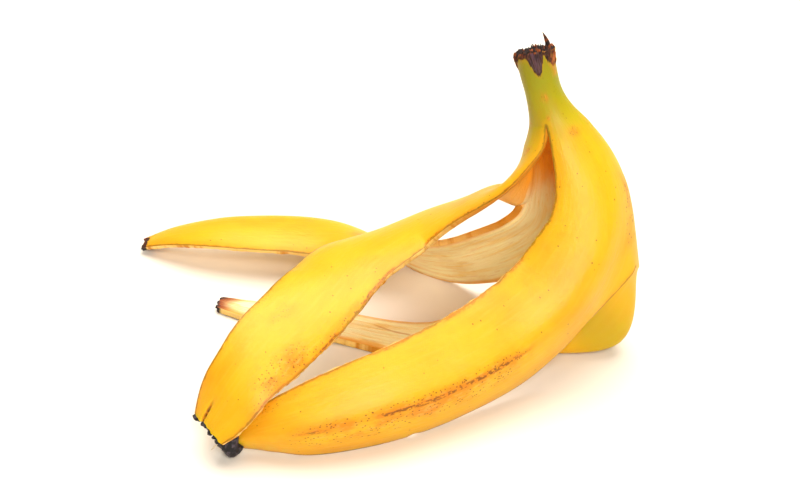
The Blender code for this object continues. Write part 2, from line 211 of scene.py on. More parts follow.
# Bites out of a torn edge: strip, edge, level, depth and half length.
NOTCHES = (
    ("front", 1, 138.6, 1.8, 2.0), ("front", 1, 144.2, -1.5, 3.0), ("front", 1, 183.5, -0.8, 1.6),
    ("front", 0, 96.0, 0.5, 2.0), ("low", 1, 128.0, -0.9, 3.0), ("low", 1, 121.0, 0.7, 2.5),
    ("low", 1, 104.0, -0.7, 3.0), ("far", 1, 57.0, 0.8, 2.0), ("over", 1, 118.0, 0.4, 3.0),
    ("far", 1, 133.0, -0.7, 5.0), ("low", 1, 172.0, 0.6, 2.0),
)
# Slit down the end of the over strip: place across it, level where it starts, length over which it
# deepens; then width, depth, and how far it slants for each millimetre down.
SLIT_PLACE, SLIT_FROM, SLIT_FADE = -0.42, 180.5, 6.0
SLIT_WIDTH, SLIT_DEPTH, SLIT_SLANT = 0.45, 1.1, 0.12

# Dried ends: strip, level where the brown begins at the strip's middle, and how much it wanders.
DRY_TIPS = {"over": (190.6, 0.7), "front": (189.8, 0.7), "low": (188.4, 1.2), "far": (188.8, 0.9)}
# How far the dry crust comes down the stem: angle round it, length.
DRY_STEM = (
    (-180, 2.6), (-150, 4.6), (-128, 4.4), (-114, 2.2), (-96, 0.9), (-70, 0.9), (-20, 1.6), (0, 2.6),
    (14, 4.4), (40, 5.0), (62, 4.0), (100, 2.4), (180, 2.6),
)
DRY_STEM_WANDER = 0.7  # how much that wanders
CRUST, CRUST_LUMP = 0.5, 1.3  # height and spacing of the crust's lumps
CRUST_TO, CRUST_FADE = 30.0, 5.0  # level below which nothing has lumps, and length over which they end
# The near side of the cut stands higher: rise, middle angle, spread, length of stem that it draws up.
RIM_RISE, RIM_ANGLE, RIM_SPREAD, RIM_LENGTH = 2.4, -50.0, 75.0, 6.0
# Dry scar on the stem, a shield with its point down: angle of its middle, half width, depth.
STEM_SCAR = (-43.0, 31.0, 5.6)
# Rings of the stem's cut end: share of the way to the middle, and how far the ring stands up.
CUT_RINGS = ((0.06, 0.5), (0.16, 0.9), (0.3, 0.2), (0.48, -0.5), (0.66, -0.2), (0.84, -0.8))
CUT_ROUGH, CUT_SUNK = 0.9, 0.6  # its roughness, and how deep its middle lies

# The low strip's bend takes the darker, greener colours of a level nearer the stem: painted shade on its
# underside. By how much, round which level, spread.
BEND_SHADE_SHIFT, BEND_SHADE_LEVEL, BEND_SHADE_SPREAD = 56.0, 84.0, 18.0
# Rusty scuffs on the neck: angle, level and size; and the radius of the neck there.
SCUFFS = ((-46.0, 13.0, 1.5), (-52.0, 19.5, 0.6), (-12.0, 26.0, 1.4), (-95.0, 31.0, 1.2))
SCUFF_ROUND = 7.0
# Strips with a broken brown line just inside the tear between them, and the levels that it runs between.
TORN_LINES = {"over": (58.0, 188.0), "front": (70.0, 150.0)}
# Soft bruises on the outside, and one painted shadow: strip, what they are measured from (the strip's
# first or last edge, or its brown streak), how far from it, spread, the two levels that they run between,
# the length over which they fade, and strength.
BRUISES_AND_SHADOWS = (
    ("front", "streak", 3.2, 5.0, 92.0, 184.0, 34.0, 1.0),
    ("front", "streak", 1.5, 3.6, 146.0, 168.0, 10.0, 1.0),
    ("front", "last", 4.0, 3.5, 40.0, 64.0, 8.0, 0.8),
    # Painted shadow of the over strip on the front strip, along the edge that lies under it near its end.
    ("front", "first", 1.0, 4.0, 152.0, 220.0, 26.0, 0.5),
    ("over", "last", 1.6, 1.5, 112.0, 186.0, 14.0, 0.6),
    ("over", "last", 4.5, 4.2, 142.0, 176.0, 12.0, 1.0),
    ("over", "first", 9.0, 4.0, 128.0, 156.0, 12.0, 0.35),
    ("over", "last", 0.6, 0.5, 24.0, 92.0, 6.0, 0.9),
    ("far", "first", 12.0, 2.5, 112.0, 124.0, 5.0, 0.7),
)
# Brown streak down the front strip's ridge: how far off the middle it runs, its width, and the levels
# that it runs between with the length over which it fades; then the same for the smear round it.
STREAK_OFF, STREAK_WIDTH, STREAK_LEVELS = 0.8, 0.75, (94.0, 178.0, 20.0)
SMEAR_OFF, SMEAR_WIDTH, SMEAR_LEVELS = 0.4, 2.2, (96.0, 178.0, 16.0)

# Crumbs of the dried blossom end left on the strips: strip, place across its end, how far beyond
# the end, and radius.
CRUMBS = (
    ("over", -0.95, 1.0, 1.15), ("over", -0.72, 0.7, 0.7), ("over", -0.42, 1.0, 1.1),
    ("over", -0.1, 0.7, 0.7), ("over", 0.12, 1.0, 1.05), ("over", 0.42, 0.8, 0.9),
    ("over", 0.7, 0.7, 1.1), ("far", 0.5, 0.0, 0.9), ("far", 0.85, 0.3, 0.7),
    ("low", -0.6, 0.1, 0.7), ("low", 0.1, 0.4, 0.8), ("low", 0.8, 0.1, 0.8),
)
# The black blossom end: its middle, and its half sizes.
BLOSSOM_MIDDLE, BLOSSOM_HALF = (-50.8, -65.2, 5.4), (3.6, 3.4, 3.9)
# Fibre that hangs off the blossom end: points, and radius.
LOOSE_THREAD = ((-56.6, -65.8, 2.6), (-52.6, -69.6, 9.6), (-48.5, -68.6, 13.2), (-46.5, -66.6, 13.6))
THREAD_RADIUS = 0.13
# Curled splinter that stands up at the stem's rim: points, and radius at each.
SPLINTER = ((44.2, 5.4, 97.0), (44.5, 5.3, 101.0), (43.8, 5.1, 103.4), (42.7, 5.0, 105.8))
SPLINTER_RADII = (1.1, 0.85, 0.6, 0.08)
STEM_FIBRES, FIBRE_RADIUS = 46, 0.3  # torn fibres round the stem's rim: how many, and how thick

# Colours, as sRGB values.
SKIN_DEEP, SKIN_LIGHT, STEM_GREEN, STEM_OLIVE = "#d39810", "#dfb43c", "#989208", "#848005"
EDGE_ORANGE, EDGE_BROWN, SPECKLE, STREAK = "#dc9a16", "#6c5010", "#704804", "#7a4a08"
# The next two colours serve bruises and also a painted shadow.
BRUISE_AND_SHADOW_TONE, BRUISE_AND_SHADOW_PALE = "#cc7c08", "#dfa848"
PITH_CREAM, PITH_YELLOW, PITH_OCHRE, PITH_ORANGE = "#ffeeb4", "#f9d272", "#e6b448", "#eaa034"
# Next: painted warm shade in the neck's hollow, and painted shade along creases of the inside.
NECK_SHADE_ORANGE, PITH_CREASE_SHADE = "#ffa828", "#c8781c"
RIM_CREAM, RIM_ORANGE = "#eec46c", "#c47c14"
DRY_DARK, DRY_BROWN, DRY_RUST = "#241612", "#5a3420", "#9c4c1c"
CRUST_ORANGE, SCAR = "#a85e30", "#5f4348"
# The grey of the blossom end is painted highlight on its black crust.
BLOSSOM_BLACK, BLOSSOM_GLINT_GREY, THREAD_PALE = "#141012", "#4a4048", "#e8cfa0"

FLOOR_HALF, FLOOR_COLOUR = 4.0, "#ece0ce"  # half its side, in metres
WORLD_COLOUR, WORLD_STRENGTH = (1.0, 1.0, 1.0, 1.0), 0.22
# Soft lights: name, place and width in metres, and power in watts; and the point that they face.
LIGHTS = (
    ("light_above", (0.1, 0.25, 0.9), 1.0, 15.0),
    ("light_front", (0.2, -0.85, 0.75), 0.6, 11.5),
)
LIGHTS_AIM = (0.0, 0.0, 0.03)
CAMERA_TARGET = (0.0, 0.0, 30.0)  # in millimetres, before the peel is moved over the origin
LENS = 85.0

OUTSIDE, INSIDE, TORN, CUT = range(4)  # material of each face
# What the skin's points carry, in this order; the patterns read them by name.
VALUE_NAMES = ("place", "level", "edge", "dry", "mark", "bruise_and_shade")
FACES = ("out", "inn")  # a strip's outside and inside
SHARP_ANGLE = math.radians(58.0)  # edges that turn more than this look sharp


def unit(vector):
    """Vectors brought to a length of 1."""
    return vector / np.linalg.norm(vector, axis=-1, keepdims=True)


def ease(x):
    """0 before 0, 1 after 1, and smooth between."""
    x = np.clip(x, 0.0, 1.0)
    return x * x * (3.0 - 2.0 * x)


def bump(x):
    """1 at 0 and fading to nothing beyond about 2 to either side."""
    return np.exp(-(x**2))


def off_angle(angle, middle):
    """Degrees from a middle angle, from -180 to 180."""
    return (angle - middle + 180.0) % 360.0 - 180.0


def curve(rows, at):
    """The smooth curve through rows of (level, values...), read at some levels."""
    rows = np.array(rows, float)
    keys, values = rows[:, 0], rows[:, 1:]
    steps = np.diff(keys)[:, None]
    rise = np.diff(values, axis=0) / steps
    slope = np.empty_like(values)
    slope[0], slope[-1] = rise[0], rise[-1]
    slope[1:-1] = (rise[:-1] * steps[1:] + rise[1:] * steps[:-1]) / (steps[1:] + steps[:-1])
    at = np.asarray(at, float)
    i = np.clip(np.searchsorted(keys, at, "right") - 1, 0, len(keys) - 2)
    span = steps[i]
    t = np.clip((at - keys[i])[:, None] / span, 0.0, 1.0)
    return (
        (2 * t**3 - 3 * t**2 + 1) * values[i] + (t**3 - 2 * t**2 + t) * span * slope[i]
        + (3 * t**2 - 2 * t**3) * values[i + 1] + (t**3 - t**2) * span * slope[i + 1]
    )


def direction(rows, at):
    """The direction of a curve of points at some levels."""
    ends = rows[0][0], rows[-1][0]
    ahead, behind = np.clip(at + STEP, *ends), np.clip(at - STEP, *ends)
    return unit(curve(rows, ahead) - curve(rows, behind))


def hashed(i, j, k, seed):
    """A fixed number from -1 to 1 for each whole-number place."""
    mask = np.int64(0xFFFFFFFF)
    h = (i * 374761393 + j * 668265263 + k * 1440670441 + seed * 974634777) & mask
    h = ((h ^ (h >> 13)) * 1274126177) & mask
    return ((h ^ (h >> 16)) & 0xFFFF) / 32767.5 - 1.0


def noise(points, period, seed):
    """Smooth noise from -1 to 1 at points, with one hill about every period."""
    at = np.asarray(points, float) / period
    cell = np.floor(at)
    f = at - cell
    f = f * f * (3.0 - 2.0 * f)
    cell = cell.astype(np.int64)
    total = 0.0
    for corner in itertools.product((0, 1), repeat=3):
        share = 1.0
        for n, far in enumerate(corner):
            share = share * (f[..., n] if far else 1.0 - f[..., n])
        total = total + share * hashed(*(cell[..., n] + corner[n] for n in range(3)), seed)
    return total


def wobble(along, period, seed):
    """Smooth noise from -1 to 1 along one line."""
    return noise(np.stack([along, 0.5 * period + 0.0 * along, 0.0 * along], -1), period, seed)


def fruit_frame(level):
    """Middle point, way down the fruit, way the ridge faces, way to its side, and radius."""
    along = direction(MIDDLE, level)
    face = curve(FACING, level)
    face = unit(face - (face * along).sum(1, keepdims=True) * along)
    return curve(MIDDLE, level), along, face, np.cross(face, along), curve(GIRTH, level)[:, 0]


def outward(level, angle):
    """Unit vectors from the middle line at each level and each angle round it."""
    _, _, face, side, _ = fruit_frame(level)
    turn = np.radians(np.atleast_2d(angle))[..., None]
    return np.cos(turn) * face[:, None] + np.sin(turn) * side[:, None]


def fruit_surface(level, angle):
    """Points on the outside of the whole fruit, with its five ridges and its slump."""
    middle, _, _, _, radius = fruit_frame(level)
    ridges = -RIDGE_MEAN
    for centre in [0.0] + [tear[0] for tear in TEARS.values()]:
        ridges = ridges + bump(off_angle(np.atleast_2d(angle), centre) / RIDGE_SPREAD)
    ridged = RIDGE_RISE * ridges * ease((level - RIDGE_FROM) / RIDGE_OVER)[:, None]
    slump = curve(SAG, level) * bump((np.atleast_2d(angle) - SAG_ANGLE) / SAG_SPREAD)
    reach = radius[:, None] * (1.0 + ridged + slump)
    return middle[:, None] + reach[..., None] * outward(level, angle)


def hollow_radius(level):
    """Radius of the space inside the neck, which opens from a point to the even skin."""
    radius = curve(GIRTH, level)[:, 0]
    opened = ease((level - HOLLOW_TOP) / (EVEN_FROM - HOLLOW_TOP))
    return HOLLOW_RADIUS + (radius - SKIN - HOLLOW_RADIUS) * opened


def outline(across, curl, ridged):
    """Section of a strip: offsets along its width and its facing for places from -1 to 1."""
    fine = np.linspace(-1.0, 1.0, SAMPLES)
    if ridged:
        turned = RIDGE_BEND * fine + (1.0 - RIDGE_BEND) * np.tanh(fine / RIDGE_WIDTH)
    else:
        turned = EVEN_BEND * fine + EDGE_BEND * fine**3
    heading = np.radians(curl) * turned / 2.0
    step = fine[1] - fine[0]
    offsets = []
    for slope in (np.cos(heading), -np.sin(heading)):
        run = np.concatenate([[0.0], np.cumsum((slope[1:] + slope[:-1]) * step / 2.0)])
        offsets.append(np.interp(across, fine, run - run[SAMPLES // 2]))
    return offsets


def edges_of(strip):
    """The angles of a strip's two edges, the second larger than the first."""
    first, second = (TEARS[name][0] for name in strip["tears"])
    return first, second + (360.0 if second < first else 0.0)


def free_surface(strip, level, across):
    """The strip as its own ribbon, carried along its stations."""
    first, second = strip.get("ribbon", edges_of(strip))
    middle = np.array([(first + second) / 2.0])
    path, facing, form = [], [], []
    for key in strip["whole"]:
        at = np.array([float(key)])
        path.append((key, *fruit_surface(at, middle)[0, 0]))
        facing.append((key, *outward(at, middle)[0, 0]))
        form.append((key, second - first, 1.0))
    for key, x, y, z, facing_x, facing_y, facing_z, curl, share in strip["free"]:
        path.append((key, x, y, z))
        facing.append((key, *unit(np.array([facing_x, facing_y, facing_z], float))))
        form.append((key, curl, share))
    along = direction(path, level)
    face = curve(facing, level)
    face = unit(face - (face * along).sum(1, keepdims=True) * along)
    width = np.cross(face, along)
    curl, share = curve(form, level).T
    if "curl" in strip:
        curl = curve(strip["curl"], level)[:, 0]
    half = np.radians(second - first) * curve(GIRTH, level)[:, 0] * share / 2.0
    surface = np.empty((len(level), len(across), 3))
    for row, centre in enumerate(curve(path, level)):
        aside, up = outline(across, curl[row], "curl" in strip)
        surface[row] = centre + half[row] * (aside[:, None] * width[row] + up[:, None] * face[row])
    return surface


def pull(level, across, surface):
    """How far the over strip is drawn off the neck: its front edge most, its back edge not at all."""
    start = TEARS["over_front"][1]
    edge = fruit_surface(np.array([start]), np.array([TEARS["over_front"][0]]))[0, 0]
    rows = ((start, *edge),) + PULLED_EDGE
    guide = curve(rows, np.clip(level, start, rows[-1][0]))
    lift = np.where((level >= start)[:, None], guide - surface[:, -1], 0.0)
    return np.sin(np.pi / 4.0 * (across + 1.0))[None, :, None] * lift[:, None]


def tuck(level, across, surface):
    """How far the low strip's front edge is turned in behind the front strip."""
    start, end = TEARS["front_low"][1], TUCKED_EDGE[-1][0]
    guide = curve(((start, *surface[int(np.searchsorted(level, start)), 0]),) + TUCKED_EDGE, level)
    amount = np.where(level > start, 1.0, 0.0) * (1.0 - ease((level - end) / TUCK_FADE))
    near_edge = ease(1.0 - (across + 1.0) / TUCK_WIDTH)
    return (amount[:, None] * near_edge)[..., None] * (guide - surface[:, 0])[:, None]


def torn_in_places(level, across):
    """The places across the front strip with its lower edge moved in at the bend."""
    share = curve(TORN_IN, np.clip(level, TORN_IN[0][0], TORN_IN[-1][0]))[:, 0]
    return across - share[:, None] * ((across + 1.0) / 2.0) ** 3


def torn_in(level, across, surface):
    """The front strip drawn in to those places."""
    moved = np.empty_like(surface)
    for row, place in enumerate(torn_in_places(level, across)):
        for axis in range(3):
            moved[row, :, axis] = np.interp(place, across, surface[row, :, axis])
    return moved


def relax(level, surface, below, passes):
    """Evens out the rows of a strip that hang freely below a level."""
    for _ in range(passes):
        evened = surface.copy()
        evened[1:-1] = (surface[:-2] + 2.0 * surface[1:-1] + surface[2:]) / 4.0
        surface = np.where((level <= below)[:, None, None], surface, evened)
    return surface


def levels():
    """The level of each row of the skin."""
    rows = [np.linspace(start, end, count * FINER_DOWN, endpoint=False) for start, end, count in BANDS]
    return np.concatenate(rows + [[BLOSSOM_END]])


def strip_across(strip):
    """Even places across a strip, from -1 at its first edge to 1 at its last."""
    return np.linspace(-1.0, 1.0, strip["columns"] * FINER_ACROSS + 1)


def even_angles(name, level, drawn=False):
    """The angle round the fruit of each row's places across a strip, drawn in at the bend or not."""
    strip = STRIPS[name]
    across = strip_across(strip)
    first, second = edges_of(strip)
    if name == "low":
        second = second - BACK_GAP * ease((level - TEARS["low_far"][1])[:, None] / BACK_GAP_OVER)
    if drawn and name == "front":
        across = torn_in_places(level, across)
    angle = first + (second - first) * (across + 1.0) / 2.0
    return np.broadcast_to(angle, (len(level), angle.shape[-1]))


def smooth_outside(name, level):
    """The plain outside of one strip, and the round inside that it has up in the neck."""
    strip = STRIPS[name]
    across = strip_across(strip)
    angle = even_angles(name, level)
    near = fruit_surface(level, angle)
    middle = fruit_frame(level)[0][:, None]
    near_inside = middle + hollow_radius(level)[:, None, None] * outward(level, angle)
    if name == "over":
        moved = pull(level, across, near)
        near, near_inside = near + moved, near_inside + moved
    tear_starts = [TEARS[tear][1] for tear in strip["tears"]]
    starts = np.interp(across, (-1, 1), strip.get("stays", tear_starts))
    over = np.interp(across, (-1, 1), strip["leave"])
    loose = ease((level[:, None] - starts) / over)[..., None]
    outside = near * (1.0 - loose) + free_surface(strip, level, across) * loose
    if name == "front":
        outside = torn_in(level, across, outside)
    if name == "low":
        outside = outside + tuck(level, across, outside)
    return relax(level, outside, max(tear_starts), strip["relax"] * FINER_DOWN**2), near_inside


def settings():
    """The sizes and colours that the panel holds."""
    return bpy.context.scene.banana_peel


def ragged_edge(name, side, level):
    """How far one torn edge of a strip stands out, in millimetres, at each level."""
    start = TEARS[STRIPS[name]["tears"][side]][1]
    seed = 11 * ORDER.index(name) + side
    jitter = wobble(level, FRAY_LONG, seed) + SHORT_SHARE * wobble(level, FRAY_SHORT, seed + 100)
    jitter = settings().fray / MM * jitter
    for strip, edge, at, depth, half in NOTCHES:
        if (strip, edge) == (name, side):
            jitter = jitter - depth * bump((level - at) / half)
    return jitter * ease((level - start) / FRAY_FADE)


def torn_edges(name, level, outside):
    """Makes a strip's edges ragged; gives it with each place's way to a torn edge and across the row."""
    lengths = np.linalg.norm(np.diff(outside, axis=1), axis=2)
    width = np.concatenate([np.zeros((len(level), 1)), np.cumsum(lengths, axis=1)], axis=1)
    aside = unit(np.gradient(outside, axis=1))
    edge = np.full(width.shape, np.inf)
    for side, tear in enumerate(STRIPS[name]["tears"]):
        away, sign = (width, -1.0) if side == 0 else (width[:, -1:] - width, 1.0)
        edge = np.minimum(edge, np.hypot(away, np.maximum(TEARS[tear][1] - level, 0.0)[:, None]))
        jitter = sign * ragged_edge(name, side, level)[:, None] * bump(away / FRAY_REACH)
        outside = outside + jitter[..., None] * aside
    return outside, edge, width


def ragged_tip(name, level, outside, width):
    """Makes a strip's dried end wander down the fruit."""
    seed = 70 + ORDER.index(name)
    wander = wobble(width, 3.0, seed) + 0.6 * wobble(width, 1.2, seed + 10)
    end = ease((level - (BLOSSOM_END - TIP_REACH)) / TIP_REACH)[:, None]
    return outside + (TIP_RAGGED * end * wander)[..., None] * unit(np.gradient(outside, axis=0))


def slit_share(name, level, width):
    """How deep each place lies in the slit at the over strip's end, from 0 to 1."""
    if name != "over":
        return np.zeros_like(width)
    across = (strip_across(STRIPS[name]) - SLIT_PLACE) * width[:, -1:] / 2.0
    off = across + SLIT_SLANT * (level[:, None] - BLOSSOM_END)
    return bump(off / SLIT_WIDTH) * ease((level - SLIT_FROM) / SLIT_FADE)[:, None]


def crust_height(level, place, dry, scar):
    """How high the lumps of the dried crust stand, lower in the scar."""
    lumps = noise(place, CRUST_LUMP, 8) + 0.4 * noise(place, 0.4 * CRUST_LUMP, 9) + 0.4
    stem = ease((CRUST_TO - level) / CRUST_FADE)[:, None]
    return CRUST * lumps * ease(dry / 1.2) * (1.0 - 1.3 * scar) * stem


def inside_of(level, outside, near_inside, normal, place, edge):
    """The inside of a strip: even below the neck, thinner at its tears, with fine ribs and flakes."""
    thick = SKIN * (1.0 - EDGE_THINNING * bump(edge / THIN_REACH))
    ribs = INNER_RIBS * noise(place / (1, 1, RIB_STRETCH), RIB_WIDTH, 5)
    flakes = INNER_FLAKES * noise(place / (1, 1, FLAKE_STRETCH), FLAKE_SIZE, 6)
    even_inside = outside - (thick - ribs - flakes)[..., None] * normal
    even = ease((level - INNER_BLEND[0]) / INNER_BLEND[1])[:, None, None]
    return near_inside * (1.0 - even) + even_inside * even


def detailed_strip(name, level):
    """One strip with its ragged edges, dents, ribs and crust, and what its patterns are placed by."""
    outside, near_inside = smooth_outside(name, level)
    angle = even_angles(name, level, drawn=True)
    outside, edge, width = torn_edges(name, level, outside)
    outside = ragged_tip(name, level, outside, width)
    turn = np.radians(angle)
    place = np.stack([ROUND * np.cos(turn), ROUND * np.sin(turn), level[:, None] + 0.0 * turn], -1)
    down, aside = np.gradient(outside, axis=0), np.gradient(outside, axis=1)
    normal = unit(np.cross(down, aside))
    inside = inside_of(level, outside, near_inside, normal, place, edge)
    grown = ease((level - DENTS_FROM) / DENTS_OVER)[:, None]
    dents = DENTS * noise(place / (1, 1, DENT_STRETCH), DENT_LENGTH, 7) * grown
    slit = slit_share(name, level, width)
    dry = dryness(name, level, angle, width)
    scar = ease(scar_depth(angle) - level[:, None]) * ease((scar_depth(angle) - 2.0) / 2.0)
    raised = dents + crust_height(level, place, dry, scar) - SLIT_DEPTH * slit
    outside = outside + raised[..., None] * normal
    risen = rim_rise(angle) * ease(1.0 - level / RIM_LENGTH)[:, None]
    outside = outside - risen[..., None] * fruit_frame(level)[1][:, None]
    return dict(
        out=outside, inn=inside, angle=angle, edge=edge, dry=dry, place=place, aside=unit(aside),
        down=unit(down), slit=slit, width=width, scar=scar,
    )


def rim_rise(angle):
    """How much higher the rim of the cut stem stands at an angle."""
    return RIM_RISE * bump(off_angle(angle, RIM_ANGLE) / RIM_SPREAD)


def scar_depth(angle):
    """How far down the stem the dry scar reaches at each angle."""
    middle, half, depth = STEM_SCAR
    return depth * (1.0 - np.abs(off_angle(angle, middle) / half) ** 1.5)


def dryness(name, level, angle, width):
    """How far inside a dried end each place is, in millimetres; negative on the fresh skin."""
    wander = wobble(angle, 22.0, 31) + 0.7 * wobble(angle, 8.0, 32)
    crust = np.interp(off_angle(angle, 0.0), *np.array(DRY_STEM, float).T) + DRY_STEM_WANDER * wander
    stem = np.maximum(crust, scar_depth(angle) + 0.3 * wander) - level[:, None]
    start, swing = DRY_TIPS[name]
    seed = 37 + ORDER.index(name)
    wander = wobble(width, 3.0, seed) + 0.5 * wobble(width, 1.1, seed + 7)
    return np.maximum(stem, level[:, None] - start - swing * wander)


def above_tears(level):
    """Each strip with its next neighbour, and which rows lie above the tear between them."""
    for left, right in zip(ORDER, ORDER[1:] + ORDER[:1]):
        yield left, right, level <= TEARS[STRIPS[left]["tears"][1]][1]


def grid_faces(number):
    """Four-sided faces between the rows and columns of a grid of point numbers."""
    corners = number[:-1, :-1], number[1:, :-1], number[1:, 1:], number[:-1, 1:]
    return np.stack(corners, -1).reshape(-1, 4)


class Skin:
    """Collects the points, faces and patterns' places of one closed piece."""

    def __init__(self):
        self.points, self.values, self.faces, self.looks, self.count = [], [], [], [], 0

    def add(self, points, values):
        """Adds points with their pattern values and gives the numbers of the points."""
        shape = points.shape[:-1]
        size = int(np.prod(shape))
        self.points.append(points.reshape(-1, 3))
        self.values.append(np.broadcast_to(values, shape + (values.shape[-1],)).reshape(size, -1))
        self.count += size
        return np.arange(self.count - size, self.count).reshape(shape)

    def face(self, faces, look):
        """Adds faces of one material."""
        faces = [tuple(int(v) for v in face) for face in faces]
        self.faces += faces
        self.looks += [look] * len(faces)


def strip_values(name, strip, level):
    """The pattern values of a strip's outside and of its inside."""
    rows = level[:, None] + 0.0 * strip["angle"]
    # Painted shade: the low strip's outside at its bend is coloured as if it lay nearer the stem, darker
    # and greener.
    shade_shift = BEND_SHADE_SHIFT * bump((rows - BEND_SHADE_LEVEL) / BEND_SHADE_SPREAD) if name == "low" else 0.0
    sides = []
    for blemishes, rows_seen in ((outer_blemishes, rows - shade_shift), (inner_blemishes, rows)):
        mark, bruise_and_shade = blemishes(name, rows, strip)
        values = np.stack([rows_seen, strip["edge"], strip["dry"], mark, bruise_and_shade], -1)
        sides.append(np.concatenate([strip["place"], values], -1))
    return sides


def between_levels(level, start, end, fade):
    """1 between two levels, fading to 0 at both."""
    return ease((level - start) / fade) * ease((end - level) / fade)


def outer_blemishes(name, level, strip):
    """Brown lines, soft bruises and a painted shadow on the outside of one strip, each from 0 to 1."""
    first = strip["width"]
    last = first[:, -1:] - first
    streak = first - 0.5 * first[:, -1:] - STREAK_OFF - 0.5 * wobble(level, 9.0, 51)
    measured = dict(first=first, last=last, streak=streak)
    mark = strip["scar"] + strip["slit"]
    bruise_and_shade = ease(8.0 - level) * bump(off_angle(strip["angle"], 34.0) / 30.0)
    for angle, at, size in SCUFFS:
        away = np.hypot(np.radians(off_angle(strip["angle"], angle)) * SCUFF_ROUND, level - at)
        bruise_and_shade = bruise_and_shade + bump(away / size)
    soft = np.zeros_like(level)
    for owner, origin, away, spread, start, end, fade, strength in BRUISES_AND_SHADOWS:
        if owner == name:
            shape = bump((measured[origin] - away) / spread) * between_levels(level, start, end, fade)
            soft = np.maximum(soft, strength * shape)
    bruise_and_shade = bruise_and_shade + soft
    if name == "front":
        patchy = ease(0.5 + 1.2 * wobble(level, 8.0, 52) + 0.6 * bump((level - 138.0) / 18.0))
        mark = mark + bump(streak / STREAK_WIDTH) * between_levels(level, *STREAK_LEVELS) * patchy
        smear = bump((streak - SMEAR_OFF) / SMEAR_WIDTH) * between_levels(level, *SMEAR_LEVELS)
        bruise_and_shade = bruise_and_shade + smear * (0.4 + 0.6 * patchy)
    if name in TORN_LINES:
        line = bump(((last if name == "over" else first) - 0.5) / 0.45)
        broken = ease(0.45 + 1.3 * wobble(level, 6.0, 56))
        mark = mark + 0.8 * line * between_levels(level, *TORN_LINES[name], 8.0) * broken
    return np.minimum(mark, 1.0), np.minimum(bruise_and_shade, 1.0)


def inner_blemishes(name, level, strip):
    """Creases, painted with shade, and orange parts on the inside of one strip, each from 0 to 1; the
    orange is wet skin in places and painted warm shade in others.
    """
    mark, bruise_and_shade, width = np.zeros_like(level), np.zeros_like(level), strip["width"]
    if name == "over":
        # The over strip's inside is painted orange from the neck to level 90, fading to a quarter by level
        # 130: painted warm shade on its underside.
        bruise_and_shade = 1.0 - 0.75 * ease((level - 90.0) / 40.0)
    if name == "low":
        # A wavy crease line, coloured as painted shade.
        line = width - 9.5 - 0.22 * (level - 140.0) - 1.2 * wobble(level, 8.0, 54)
        mark = bump(line / 0.5) * between_levels(level, 126.0, 152.0, 5.0)
        # Between levels 138 and 164 the inside is painted a little orange: painted shadow of the over
        # strip.
        bruise_and_shade = np.maximum(bump(width / 1.6), 0.35 * between_levels(level, 138.0, 164.0, 8.0))
        bruise_and_shade = np.maximum(bruise_and_shade, 0.7 * ease((level - 176.0) / 12.0))
    if name == "far":
        bruise_and_shade = np.maximum(0.55 * ease((level - 74.0) / 30.0), 0.6 * bump(width / 3.0))
        line = width - 4.0 - 0.8 * wobble(level, 6.0, 55)
        mark = 0.6 * bump(line / 0.4) * ease((level - 70.0) / 6.0)
    return mark, bruise_and_shade


def build_skin(level, strips):
    """The whole peel as one closed piece: outside, inside, torn edges, tips and the cut stem."""
    skin, number = Skin(), {}
    values = {name: strip_values(name, strips[name], level) for name in ORDER}
    for left, right, whole in above_tears(level):
        for face in FACES:
            shared = (strips[left][face][whole, -1] + strips[right][face][whole, 0]) / 2.0
            strips[left][face][whole, -1] = strips[right][face][whole, 0] = shared
    for name in ORDER:
        number[name] = [skin.add(strips[name][face], value) for face, value in zip(FACES, values[name])]
    for left, right, whole in above_tears(level):
        for mine, theirs in zip(number[right], number[left]):
            mine[whole, 0] = theirs[whole, -1]
    top = int(np.searchsorted(level, HOLLOW_TOP))
    for name in ORDER:
        out, inn = number[name]
        skin.face(grid_faces(out), OUTSIDE)
        skin.face(grid_faces(inn[top:, ::-1]), INSIDE)
    walls = add_walls(skin, level, strips, number, values)
    for name in ORDER:
        add_tip(skin, number[name], walls[name])
    add_stem_cut(skin, strips, number, values)
    add_hollow_tip(skin, level, number, values, top)
    return skin


def add_walls(skin, level, strips, number, values):
    """The ragged walls of the torn edges; both sides of a tear share its first points."""
    steps = np.arange(1, WALL_STEPS + 1) / (WALL_STEPS + 1.0)
    starts, walls = {}, {name: {} for name in ORDER}
    for name in ORDER:
        strip = strips[name]
        for column, tear in zip((0, -1), STRIPS[name]["tears"]):
            first = int(np.searchsorted(level, TEARS[tear][1]))
            out, inn = strip["out"][first:, column, None], strip["inn"][first:, column, None]
            wall = out * (1.0 - steps[:, None]) + inn * steps[:, None]
            value = np.repeat(values[name][0][first:, column][:, None], WALL_STEPS, axis=1)
            place = value[..., :3] + steps[:, None] * SKIN
            sign = -1.0 if column == 0 else 1.0
            rough = WALL_ROUGH * noise(place, 1.3, 41) + 0.5 * WALL_ROUGH * noise(place, 4.0, 42)
            fade = ease((level[first:] - level[first]) / FRAY_FADE)[:, None]
            swell = fade * (rough + WALL_SWELL * np.sin(np.pi * steps))
            wall = wall + sign * swell[..., None] * strip["aside"][first:, column, None]
            if tear not in starts:
                starts[tear] = skin.add(wall[0], value[0])
            rest = skin.add(wall[1:], value[1:])
            inner = np.vstack([starts[tear][None], rest])
            grid = np.column_stack([side[first:, column] for side in number[name]])
            grid = np.insert(grid, [1], inner, axis=1)
            skin.face(grid_faces(grid if column == 0 else grid[:, ::-1]), TORN)
            walls[name][column] = inner[-1]
    return walls


def add_tip(skin, number, walls):
    """Closes the blossom end of a strip between its outside and its inside."""
    out, inn = number[0][-1], number[1][-1]
    faces = [(out[j], inn[j], inn[j + 1], out[j + 1]) for j in range(1, len(out) - 2)]
    faces.append((out[0], *walls[0], inn[0], inn[1], out[1]))
    faces.append((out[-2], inn[-2], inn[-1], *walls[-1][::-1], out[-1]))
    skin.face(faces, TORN)


